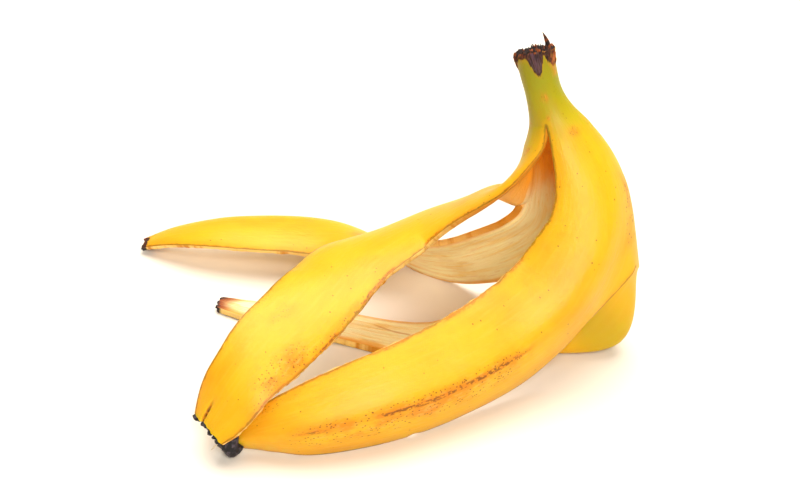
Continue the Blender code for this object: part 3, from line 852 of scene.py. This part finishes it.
def add_stem_cut(skin, strips, number, values):
    """The dry, fibrous end of the stem."""
    rim = np.concatenate([strips[name]["out"][0, :-1] for name in ORDER])
    ring = np.concatenate([number[name][0][0, :-1] for name in ORDER])
    value = np.concatenate([values[name][0][0, :-1] for name in ORDER])
    middle, along = fruit_frame(np.zeros(1))[:2]
    for inward, rise in CUT_RINGS:
        at = rim * (1.0 - inward) + middle * inward
        height = rise + CUT_ROUGH * noise(at, 1.6, 61) + 0.6 * noise(at, 0.7, 62)
        following = skin.add(at - height[:, None] * along, value)
        skin.face(zip(ring, np.roll(ring, -1), np.roll(following, -1), following), CUT)
        ring = following
    tip = skin.add(middle + CUT_SUNK * along, value[:1])[0]
    skin.face([(tip, *pair) for pair in zip(ring, np.roll(ring, -1))], CUT)


def add_hollow_tip(skin, level, number, values, top):
    """The pointed top of the space that the fruit left."""
    middle, along = fruit_frame(level[top:top + 1])[:2]
    tip = skin.add(middle - HOLLOW_RADIUS * along, values["over"][1][top, :1])[0]
    for name in ORDER:
        inn = number[name][1][top]
        skin.face([(tip, inn[j + 1], inn[j]) for j in range(len(inn) - 1)], INSIDE)


def skin_mesh(skin, shift):
    """The Blender mesh of a skin, with its patterns' places as attributes."""
    corners = np.concatenate([np.array(face) for face in skin.faces])
    used, place = np.unique(corners, return_inverse=True)
    cuts = np.cumsum([len(face) for face in skin.faces])[:-1]
    faces = [tuple(face.tolist()) for face in np.split(place, cuts)]
    points, values = np.concatenate(skin.points)[used], np.concatenate(skin.values)[used]
    points = on_the_floor(points, shift) * MM
    mesh = bpy.data.meshes.new(NODE)
    mesh.from_pydata(points.tolist(), [], faces)
    place = mesh.attributes.new("place", "FLOAT_VECTOR", "POINT")
    place.data.foreach_set("vector", values[:, :3].ravel())
    for column, name in enumerate(VALUE_NAMES[1:], 3):
        mesh.attributes.new(name, "FLOAT", "POINT").data.foreach_set("value", values[:, column].copy())
    mesh.polygons.foreach_set("material_index", skin.looks)
    mesh.shade_smooth()
    mesh.set_sharp_from_angle(angle=SHARP_ANGLE)
    return mesh


def floor_shift(strips):
    """How far the peel moves so that its box stands on the origin, as the solid's does."""
    points = np.concatenate([strips[name][face].reshape(-1, 3) for name in ORDER for face in FACES])
    low, high = points.min(axis=0), points.max(axis=0)
    return np.array([(low[0] + high[0]) / 2.0, (low[1] + high[1]) / 2.0, 0.0])


def on_the_floor(points, shift):
    """Points moved with the peel; what would sink into the floor is laid on it."""
    points = points - shift
    points[:, 2] = np.maximum(points[:, 2], 0.0)
    return points


_made = {}


def made():
    """The strips, worked out once for every piece that is fitted to them."""
    if not _made:
        level = levels()
        strips = {name: detailed_strip(name, level) for name in ORDER}
        _made.update(level=level, strips=strips, shift=floor_shift(strips))
    return _made


def linear(colour):
    """A linear colour with alpha from an sRGB hex value."""
    channels = [int(colour[n:n + 2], 16) / 255.0 for n in (1, 3, 5)]
    return [c / 12.92 if c <= 0.04045 else ((c + 0.055) / 1.055) ** 2.4 for c in channels] + [1.0]


def add_node(tree, kind, inputs=None, **options):
    """Adds a shader node, sets its options and its inputs, and links the inputs that are sockets."""
    node = tree.nodes.new("ShaderNode" + kind)
    for name, value in options.items():
        setattr(node, name, value)
    for name, value in (inputs or {}).items():
        if isinstance(value, bpy.types.NodeSocket):
            tree.links.new(value, node.inputs[name])
        else:
            node.inputs[name].default_value = value
    return node


def new_material(name, **surface):
    """A material with a bare Principled surface; gives the material, its tree and its shader."""
    material = bpy.data.materials.new(name)
    material.use_nodes = True
    tree = material.node_tree
    shader = tree.nodes["Principled BSDF"]
    for socket, value in surface.items():
        shader.inputs[socket.replace("_", " ")].default_value = value
    return material, tree, shader


def blend(tree, factor, first, second):
    """One colour laid over another where the factor is 1."""
    inputs = {0: factor, 6: first, 7: second}
    return add_node(tree, "Mix", inputs, data_type="RGBA").outputs[2]


def between(tree, value, low, high):
    """0 where a value is below low, 1 where it is above high, smooth between."""
    inputs = {"Value": value, "From Min": low, "From Max": high}
    return add_node(tree, "MapRange", inputs, interpolation_type="SMOOTHSTEP").outputs[0]


def combine(tree, operation, first, second):
    """A number worked out from two numbers or sockets."""
    return add_node(tree, "Math", {0: first, 1: second}, operation=operation).outputs[0]


def read(tree, name):
    """A skin attribute: the place as a vector, or one of the numbers."""
    node = add_node(tree, "Attribute", attribute_name=name)
    return node.outputs["Vector" if name == "place" else "Fac"]


def wandering(tree, name, pattern, reach):
    """A skin attribute moved to and fro by a pattern, so that what follows it has a ragged border."""
    return combine(tree, "ADD", read(tree, name), combine(tree, "MULTIPLY", pattern, reach))


def grain(tree, period, stretch=1.0, detail=2.0, rough=0.5):
    """Noise over the skin with a hill about every period in millimetres, stretched down the fruit."""
    scale = (1.0 / period, 1.0 / period, 1.0 / period / stretch)
    place = add_node(tree, "Mapping", {"Vector": read(tree, "place"), "Scale": scale}).outputs[0]
    inputs = {"Vector": place, "Scale": 1.0, "Detail": detail, "Roughness": rough}
    return add_node(tree, "TexNoise", inputs).outputs["Fac"]


def spots(tree, spacing, size, share):
    """Round spots of a size, about a spacing apart, on a share of the places where one could be."""
    inputs = {"Vector": read(tree, "place"), "Scale": 1.0 / spacing}
    cells = add_node(tree, "TexVoronoi", inputs)
    near = between(tree, cells.outputs["Distance"], size / spacing, 0.45 * size / spacing)
    chosen = add_node(tree, "SeparateColor", {0: cells.outputs["Color"]}).outputs[0]
    return combine(tree, "MULTIPLY", near, between(tree, chosen, 1.0 - share, 1.02 - share))


def bumped(tree, shader, height, distance):
    """Feeds a height to the shader's normal, as relief of a real depth in millimetres."""
    inputs = {"Height": height, "Distance": distance * MM, "Strength": 1.0}
    tree.links.new(add_node(tree, "Bump", inputs).outputs[0], shader.inputs["Normal"])


def layered(tree, colour, layers):
    """Lays colours over one another: each layer has its share, its strength and its colour."""
    for share, strength, over in layers:
        if strength < 1.0:
            share = combine(tree, "MULTIPLY", share, strength)
        colour = blend(tree, share, colour, linear(over) if isinstance(over, str) else over)
    return colour


def soften(shader, weight, radius, depth):
    """Light that enters a surface and comes out near by, tinted: a depth in millimetres."""
    shader.inputs["Subsurface Weight"].default_value = weight
    shader.inputs["Subsurface Radius"].default_value = radius
    shader.inputs["Subsurface Scale"].default_value = depth * MM


def product(tree, *values):
    """Several sockets multiplied together."""
    total = values[0]
    for value in values[1:]:
        total = combine(tree, "MULTIPLY", total, value)
    return total


def skin_material():
    """Ripe banana skin, waxed by nature: even warm yellow, half gloss, greener up the stem."""
    material, tree, shader = new_material("ripe_skin_waxy", IOR=1.45, Specular_IOR_Level=0.3)
    broad, middling = grain(tree, 16.0, 2.0, 3.0), grain(tree, 5.0, 1.6, 3.0)
    fine, fibres = grain(tree, 1.1, 2.0, 3.0), grain(tree, 0.9, 14.0, 3.0)
    mark, bruise_and_shade, dry = read(tree, "mark"), read(tree, "bruise_and_shade"), read(tree, "dry")
    level = wandering(tree, "level", broad, 12.0)
    edge = wandering(tree, "edge", fine, -1.2)
    # Freckles are drawn a little larger than the real ones, which are 0.2 mm across.
    freckles = combine(tree, "MAXIMUM", spots(tree, 1.0, 0.34, 0.7), spots(tree, 1.9, 0.5, 0.35))
    scattered = combine(tree, "MAXIMUM", spots(tree, 2.6, 0.34, 0.35), spots(tree, 12.0, 0.8, 0.35))
    dashes = between(tree, grain(tree, 0.9, 1.3, 3.0), 0.44, 0.56)
    bruised_and_shaded = product(tree, bruise_and_shade, between(tree, middling, 0.34, 0.62))
    freckled = product(tree, freckles, between(tree, bruise_and_shade, 0.15, 0.6))
    colour = layered(tree, tuple(settings().skin) + (1.0,), (
        (between(tree, broad, 0.42, 0.7), 0.8, SKIN_DEEP),
        (between(tree, middling, 0.55, 0.75), 0.3, SKIN_DEEP),
        (between(tree, fibres, 0.45, 0.75), 0.2, SKIN_LIGHT),
        (between(tree, level, 50.0, 13.0), 1.0, STEM_GREEN),
        (between(tree, level, 20.0, 8.0), 0.5, STEM_OLIVE),
        (between(tree, edge, 2.2, 0.2), 0.45, EDGE_ORANGE),
        # Bruise colour, also painted shadow of the over strip on the front strip near its end.
        (bruised_and_shaded, 0.8, BRUISE_AND_SHADOW_TONE),
        (product(tree, bruise_and_shade, between(tree, fine, 0.5, 0.7)), 0.5, BRUISE_AND_SHADOW_PALE),
        (freckled, 0.8, SPECKLE),
        (scattered, 0.8, SPECKLE),
        (between(tree, edge, 0.35, -0.3), 0.7, EDGE_BROWN),
        (product(tree, between(tree, mark, 0.02, 0.5), between(tree, fine, 0.3, 0.6)), 0.8, BRUISE_AND_SHADOW_TONE),
        (product(tree, between(tree, mark, 0.2, 0.7), dashes), 0.9, STREAK),
    ))
    crust = layered(tree, linear(DRY_DARK), (
        (between(tree, grain(tree, 0.7, 1.2, 5.0, 0.65), 0.45, 0.6), 1.0, DRY_BROWN),
        (product(tree, between(tree, bruise_and_shade, 0.2, 0.7), between(tree, fine, 0.4, 0.6)), 1.0, CRUST_ORANGE),
        (between(tree, dry, 1.6, 3.4), 0.7, DRY_DARK),
        (product(tree, mark, between(tree, fine, 0.35, 0.6)), 0.9, SCAR),
    ))
    offset = combine(tree, "MULTIPLY", combine(tree, "SUBTRACT", fine, 0.5), 2.2)
    ragged = combine(tree, "ADD", dry, offset)
    dried = between(tree, ragged, -0.3, 0.2)
    colour = layered(tree, colour, ((between(tree, ragged, -1.8, 0.3), 0.3, BRUISE_AND_SHADOW_TONE), (dried, 1.0, crust)))
    tree.links.new(colour, shader.inputs["Base Color"])
    rough = add_node(tree, "Mix", {0: dried, 2: 0.42, 3: 0.85}).outputs[0]
    tree.links.new(rough, shader.inputs["Roughness"])
    bumped(tree, shader, combine(tree, "ADD", combine(tree, "MULTIPLY", fibres, 0.5), fine), 0.12)
    soften(shader, 0.8, (1.0, 0.36, 0.03), 6.0)
    return material


def pith_material():
    """The soft inside of the skin: dull cream threads, wet and orange in places, with painted warm shade
    up in the neck, on the over strip's underside and along creases.
    """
    material, tree, shader = new_material("peel_pith_moist", Roughness=0.5, IOR=1.4)
    threads, patches = grain(tree, 1.5, 7.0, 4.0, 0.6), grain(tree, 8.0, 1.6, 3.0)
    wrinkles, mark = grain(tree, 1.0, 1.6, 4.0, 0.6), read(tree, "mark")
    edge = wandering(tree, "edge", patches, -2.5)
    level = wandering(tree, "level", patches, 16.0)
    wet_and_shaded = wandering(tree, "bruise_and_shade", threads, 0.8)
    dry = wandering(tree, "dry", threads, 4.0)
    colour = layered(tree, linear(PITH_CREAM), (
        (between(tree, threads, 0.42, 0.66), 0.6, PITH_YELLOW),
        (between(tree, patches, 0.52, 0.72), 0.4, PITH_OCHRE),
        (between(tree, wrinkles, 0.56, 0.7), 0.25, PITH_OCHRE),
        (between(tree, grain(tree, 2.4, 9.0, 3.0), 0.62, 0.72), 0.25, PITH_ORANGE),
        # Orange where the inside is wet, and where it carries painted warm shade.
        (between(tree, wet_and_shaded, 0.7, 1.4), 0.8, PITH_ORANGE),
        (between(tree, edge, 1.2, -1.2), 0.7, PITH_ORANGE),
        # Orange up the neck, fading out between levels 44 and 62: painted warm shade in the neck's hollow.
        (between(tree, level, 62.0, 44.0), 1.0, NECK_SHADE_ORANGE),
        # Crease lines painted darker: painted shade in the folds of the inside.
        (between(tree, mark, 0.3, 0.9), 0.6, PITH_CREASE_SHADE),
        (between(tree, dry, -2.5, 2.2), 1.0, DRY_RUST),
        (between(tree, dry, 2.0, 3.0), 0.8, DRY_DARK),
    ))
    tree.links.new(colour, shader.inputs["Base Color"])
    bumped(tree, shader, combine(tree, "ADD", threads, combine(tree, "MULTIPLY", wrinkles, 0.8)), 0.22)
    soften(shader, 0.25, (1.0, 0.6, 0.2), 1.2)
    return material


def torn_material():
    """Freshly torn rim of the skin: pale wet flesh between orange threads."""
    material, tree, shader = new_material("torn_rim_moist", Roughness=0.55, IOR=1.4)
    threads = grain(tree, 0.8, 5.0, 3.0, 0.6)
    level = wandering(tree, "level", threads, 10.0)
    colour = layered(tree, linear(RIM_CREAM), (
        (between(tree, threads, 0.45, 0.66), 1.0, RIM_ORANGE),
        (between(tree, level, 90.0, 60.0), 1.0, RIM_ORANGE),
        (between(tree, read(tree, "dry"), -0.8, 0.4), 1.0, DRY_DARK),
    ))
    tree.links.new(colour, shader.inputs["Base Color"])
    bumped(tree, shader, threads, 0.3)
    soften(shader, 0.2, (1.0, 0.55, 0.12), 1.2)
    return material


def dry_material(name, dark, light, share=0.5, roughness=0.9):
    """Dead fibre dried in the air, without shine: a dark crust and the colour that shows in places, which
    on the blossom end is grey painted highlight.
    """
    material, tree, shader = new_material(name, Roughness=roughness, IOR=1.4)
    coordinates = add_node(tree, "TexCoord").outputs["Object"]
    inputs = {"Vector": coordinates, "Scale": 0.7 / MM, "Detail": 4.0}
    lumps = add_node(tree, "TexNoise", inputs).outputs["Fac"]
    colour = blend(tree, between(tree, lumps, 0.92 - share, 1.12 - share), linear(dark), linear(light))
    tree.links.new(colour, shader.inputs["Base Color"])
    bumped(tree, shader, lumps, 0.5)
    return material


class PeelSettings(bpy.types.PropertyGroup):
    """Sizes and colours of the peel's finish."""

    fray: bpy.props.FloatProperty(
        name="Fray", description="How far the torn edges wander", default=0.00023, unit="LENGTH", min=0.0,
    )
    skin: bpy.props.FloatVectorProperty(
        name="Skin", description="Yellow of the ripe skin", default=linear("#dba914")[:3],
        subtype="COLOR", min=0.0, max=1.0,
    )
    camera_height: bpy.props.FloatProperty(
        name="Camera elevation", description="Angle that the camera looks down at",
        default=math.radians(35.0), subtype="ANGLE",
    )
    camera_distance: bpy.props.FloatProperty(
        name="Camera distance", description="From the middle of the peel", default=0.605, unit="LENGTH",
    )


class OBJECT_OT_banana_skin(bpy.types.Operator):
    """Makes the torn skin, outside and in"""

    bl_idname = "object.banana_skin"
    bl_label = "Skin"

    def execute(self, context):
        level, strips = made()["level"], made()["strips"]
        mesh = skin_mesh(build_skin(level, strips), made()["shift"])
        cut = dry_material("dried_stem_fibre", DRY_DARK, DRY_RUST, 0.42)
        for material in (skin_material(), pith_material(), torn_material(), cut):
            mesh.materials.append(material)
        peel = bpy.data.objects.new("peel", mesh)
        context.scene.collection.objects.link(peel)
        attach(peel, "root")
        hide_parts(NODE)
        return {"FINISHED"}


def closed_rings(start, rings, end):
    """Points and faces of a closed piece from one end point through rings of points to the other."""
    count, sides = rings.shape[:2]
    number = np.arange(count * sides).reshape(count, sides)
    number = np.column_stack([number, number[:, 0]])
    first, last = count * sides, count * sides + 1
    faces = grid_faces(number).tolist()
    faces += [[first, a, b] for a, b in zip(number[0, :-1], number[0, 1:])]
    faces += [[last, b, a] for a, b in zip(number[-1, :-1], number[-1, 1:])]
    points = np.vstack([rings.reshape(-1, 3), start, end])
    corners = [points[[face[n] for face in faces]] for n in range(3)]
    middle = points.mean(axis=0)
    way = np.cross(corners[1] - corners[0], corners[2] - corners[0])
    if (way * (corners[0] - middle)).sum() < 0.0:
        faces = [face[::-1] for face in faces]
    return points, faces


def strand(points, radii, sides=7):
    """A tapered thread through some points."""
    rows = np.column_stack([np.arange(len(points)), points, radii])
    at = np.linspace(0.0, len(points) - 1.0, 4 * len(points))
    middle, radius = curve(rows[:, :4], at), curve(rows[:, [0, 4]], at)
    along = unit(np.gradient(middle, axis=0))
    aside = unit(np.cross(along, (0.31, 0.9, 0.2)))
    turn = (2.0 * np.pi * np.arange(sides) / sides)[:, None]
    spoke = np.cos(turn) * aside[:, None] + np.sin(turn) * np.cross(along, aside)[:, None]
    rings, end = middle[:, None] + radius[..., None] * spoke, middle[-1] + 0.3 * radius[-1] * along[-1]
    return closed_rings(middle[0], rings, end)


def lump(centre, half, seed, rough=0.3):
    """A knobbly crumb of dried skin: half sizes, and roughness as a share of them."""
    polar = np.linspace(0.0, np.pi, 17)[:, None]
    turn = np.linspace(0.0, 2.0 * np.pi, 24, endpoint=False)[None]
    round_x, round_y = np.sin(polar) * np.cos(turn), np.sin(polar) * np.sin(turn)
    ball = np.stack([round_x, round_y, np.cos(polar) + 0.0 * turn], -1)
    swell = 1.0 + rough * noise(ball + seed, 0.8, 71) + 0.6 * rough * noise(ball + seed, 0.33, 72)
    ball = np.asarray(centre) + ball * swell[..., None] * np.asarray(half)
    return closed_rings(ball[0, 0], ball[1:-1], ball[-1, 0])


def small_piece(context, name, parts, material):
    """Adds one small piece that rides with the peel, from closed parts in millimetres."""
    points, faces, count = [], [], 0
    for part_points, part_faces in parts:
        points.append(part_points)
        faces += [[count + corner for corner in face] for face in part_faces]
        count += len(part_points)
    mesh = bpy.data.meshes.new(name)
    mesh.from_pydata((on_the_floor(np.vstack(points), made()["shift"]) * MM).tolist(), [], faces)
    mesh.materials.append(material)
    mesh.shade_smooth()
    piece = bpy.data.objects.new(name, mesh)
    context.scene.collection.objects.link(piece)
    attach(piece, "root")


def tip_point(name, across):
    """A point at the end of a strip, at a place across it, and the way the strip runs there."""
    strip = made()["strips"][name]
    places = strip_across(STRIPS[name])
    return [
        np.array([np.interp(across, places, values[:, n]) for n in range(3)])
        for values in ((strip["out"][-1] + strip["inn"][-1]) / 2.0, strip["down"][-1])
    ]


class OBJECT_OT_banana_blossom(bpy.types.Operator):
    """Makes the black blossom end, its crumbs and its loose fibre"""

    bl_idname = "object.banana_blossom"
    bl_label = "Blossom end"

    def execute(self, context):
        # Black crust with grey patches: the grey is painted highlight.
        crust = dry_material("dried_blossom_crust_glints", BLOSSOM_BLACK, BLOSSOM_GLINT_GREY, 0.45, 0.6)
        small_piece(context, "blossom_end", [lump(BLOSSOM_MIDDLE, BLOSSOM_HALF, 3.0)], crust)
        crumbs = []
        for number, (name, across, beyond, radius) in enumerate(CRUMBS):
            point, down = tip_point(name, across)
            centre = point + beyond * down
            centre[2] = max(centre[2], 0.9 * radius)
            crumbs.append(lump(centre, (radius, 0.8 * radius, 0.9 * radius), 5.0 * number, 0.4))
        small_piece(context, "blossom_crumbs", crumbs, crust)
        fibre = dry_material("loose_fibre_dry", THREAD_PALE, THREAD_PALE)
        radii = [THREAD_RADIUS] * len(LOOSE_THREAD)
        small_piece(context, "loose_fibre", [strand(LOOSE_THREAD, radii)], fibre)
        return {"FINISHED"}


class OBJECT_OT_banana_stem_fibres(bpy.types.Operator):
    """Makes the torn fibres that stand round the rim of the stem"""

    bl_idname = "object.banana_stem_fibres"
    bl_label = "Stem fibres"

    def execute(self, context):
        middle, along, face, side, radius = (value[0] for value in fruit_frame(np.array([0.0])))
        fibres = [strand(SPLINTER, SPLINTER_RADII)]
        for number in range(STEM_FIBRES):
            chance = [wobble(np.array([1.7 * number]), 1.0, seed)[0] for seed in (81, 82, 83, 84)]
            turn = 2.0 * math.pi * (number + 0.5 * chance[0]) / STEM_FIBRES
            spoke = math.cos(turn) * face + math.sin(turn) * side
            inward, sunk = 0.6 - 0.5 * chance[1], 0.5 - rim_rise(math.degrees(turn))
            foot = middle + (radius - inward) * spoke + sunk * along
            tall, lean = 1.5 + 0.9 * chance[2], 0.5 * chance[3]
            bend = np.cross(along, spoke)
            knee = foot - 0.6 * tall * along + 0.15 * tall * spoke + lean * 0.4 * bend
            tip = foot - tall * along + (0.1 + lean) * spoke + lean * bend
            thick = FIBRE_RADIUS * (1.0 + 0.5 * chance[1])
            fibres.append(strand((foot, knee, tip), (1.5 * thick, thick, 0.2 * thick), 6))
        material = dry_material("dried_stem_splinters", DRY_DARK, DRY_RUST, 0.45)
        small_piece(context, "stem_fibres", fibres, material)
        return {"FINISHED"}


def turned_to(way):
    """The turn that makes a light or a camera look along a way."""
    return way.to_track_quat("-Z", "Y").to_euler()


class OBJECT_OT_banana_stage(bpy.types.Operator):
    """Makes the white floor, the soft lights and the camera"""

    bl_idname = "object.banana_stage"
    bl_label = "Stage"

    def execute(self, context):
        scene = context.scene
        scene.view_settings.view_transform = "Standard"
        paper = new_material("warm_white_paper_matt", Roughness=0.9, Base_Color=linear(FLOOR_COLOUR))[0]
        mesh = bpy.data.meshes.new("floor")
        corners = [(x * FLOOR_HALF, y * FLOOR_HALF, 0.0) for x, y in ((-1, -1), (1, -1), (1, 1), (-1, 1))]
        mesh.from_pydata(corners, [], [(0, 1, 2, 3)])
        mesh.materials.append(paper)
        floor = bpy.data.objects.new("floor", mesh)
        scene.collection.objects.link(floor)
        world = bpy.data.worlds.new("studio")
        world.use_nodes = True
        background = world.node_tree.nodes["Background"].inputs
        background["Color"].default_value = WORLD_COLOUR
        background["Strength"].default_value = WORLD_STRENGTH
        scene.world = world
        for name, place, size, power in LIGHTS:
            light = bpy.data.lights.new(name, "AREA")
            light.shape, light.size, light.energy = "DISK", size, power
            lamp = bpy.data.objects.new(name, light)
            lamp.location = place
            lamp.rotation_euler = turned_to(Vector(LIGHTS_AIM) - Vector(place))
            scene.collection.objects.link(lamp)
        look = settings()
        target = Vector(CAMERA_TARGET) * MM - Vector(made()["shift"]) * MM
        back = Vector((0.0, -math.cos(look.camera_height), math.sin(look.camera_height)))
        camera = bpy.data.objects.new("camera", bpy.data.cameras.new("camera"))
        camera.data.lens = LENS
        camera.location = target + back * look.camera_distance
        camera.rotation_euler = turned_to(-back)
        scene.collection.objects.link(camera)
        scene.camera = camera
        return {"FINISHED"}


class VIEW3D_PT_banana_peel(bpy.types.Panel):
    """Lists what the peel is made of"""

    bl_label = "Banana peel"
    bl_idname = "VIEW3D_PT_banana_peel"
    bl_space_type = "VIEW_3D"
    bl_region_type = "UI"
    bl_category = "Banana peel"

    def draw(self, context):
        for name in PeelSettings.__annotations__:
            self.layout.prop(context.scene.banana_peel, name)
        for operator in OPERATORS:
            self.layout.operator(operator.bl_idname)


OPERATORS = (
    OBJECT_OT_banana_skin, OBJECT_OT_banana_blossom, OBJECT_OT_banana_stem_fibres, OBJECT_OT_banana_stage,
)
CLASSES = (PeelSettings, VIEW3D_PT_banana_peel) + OPERATORS


def register():
    for each in CLASSES:
        bpy.utils.register_class(each)
    bpy.types.Scene.banana_peel = bpy.props.PointerProperty(type=PeelSettings)


def unregister():
    del bpy.types.Scene.banana_peel
    for each in reversed(CLASSES):
        bpy.utils.unregister_class(each)


def main():
    register()
    for operator in OPERATORS:
        group, name = operator.bl_idname.split(".")
        getattr(getattr(bpy.ops, group), name)()


if __name__ == "__main__":
    main()
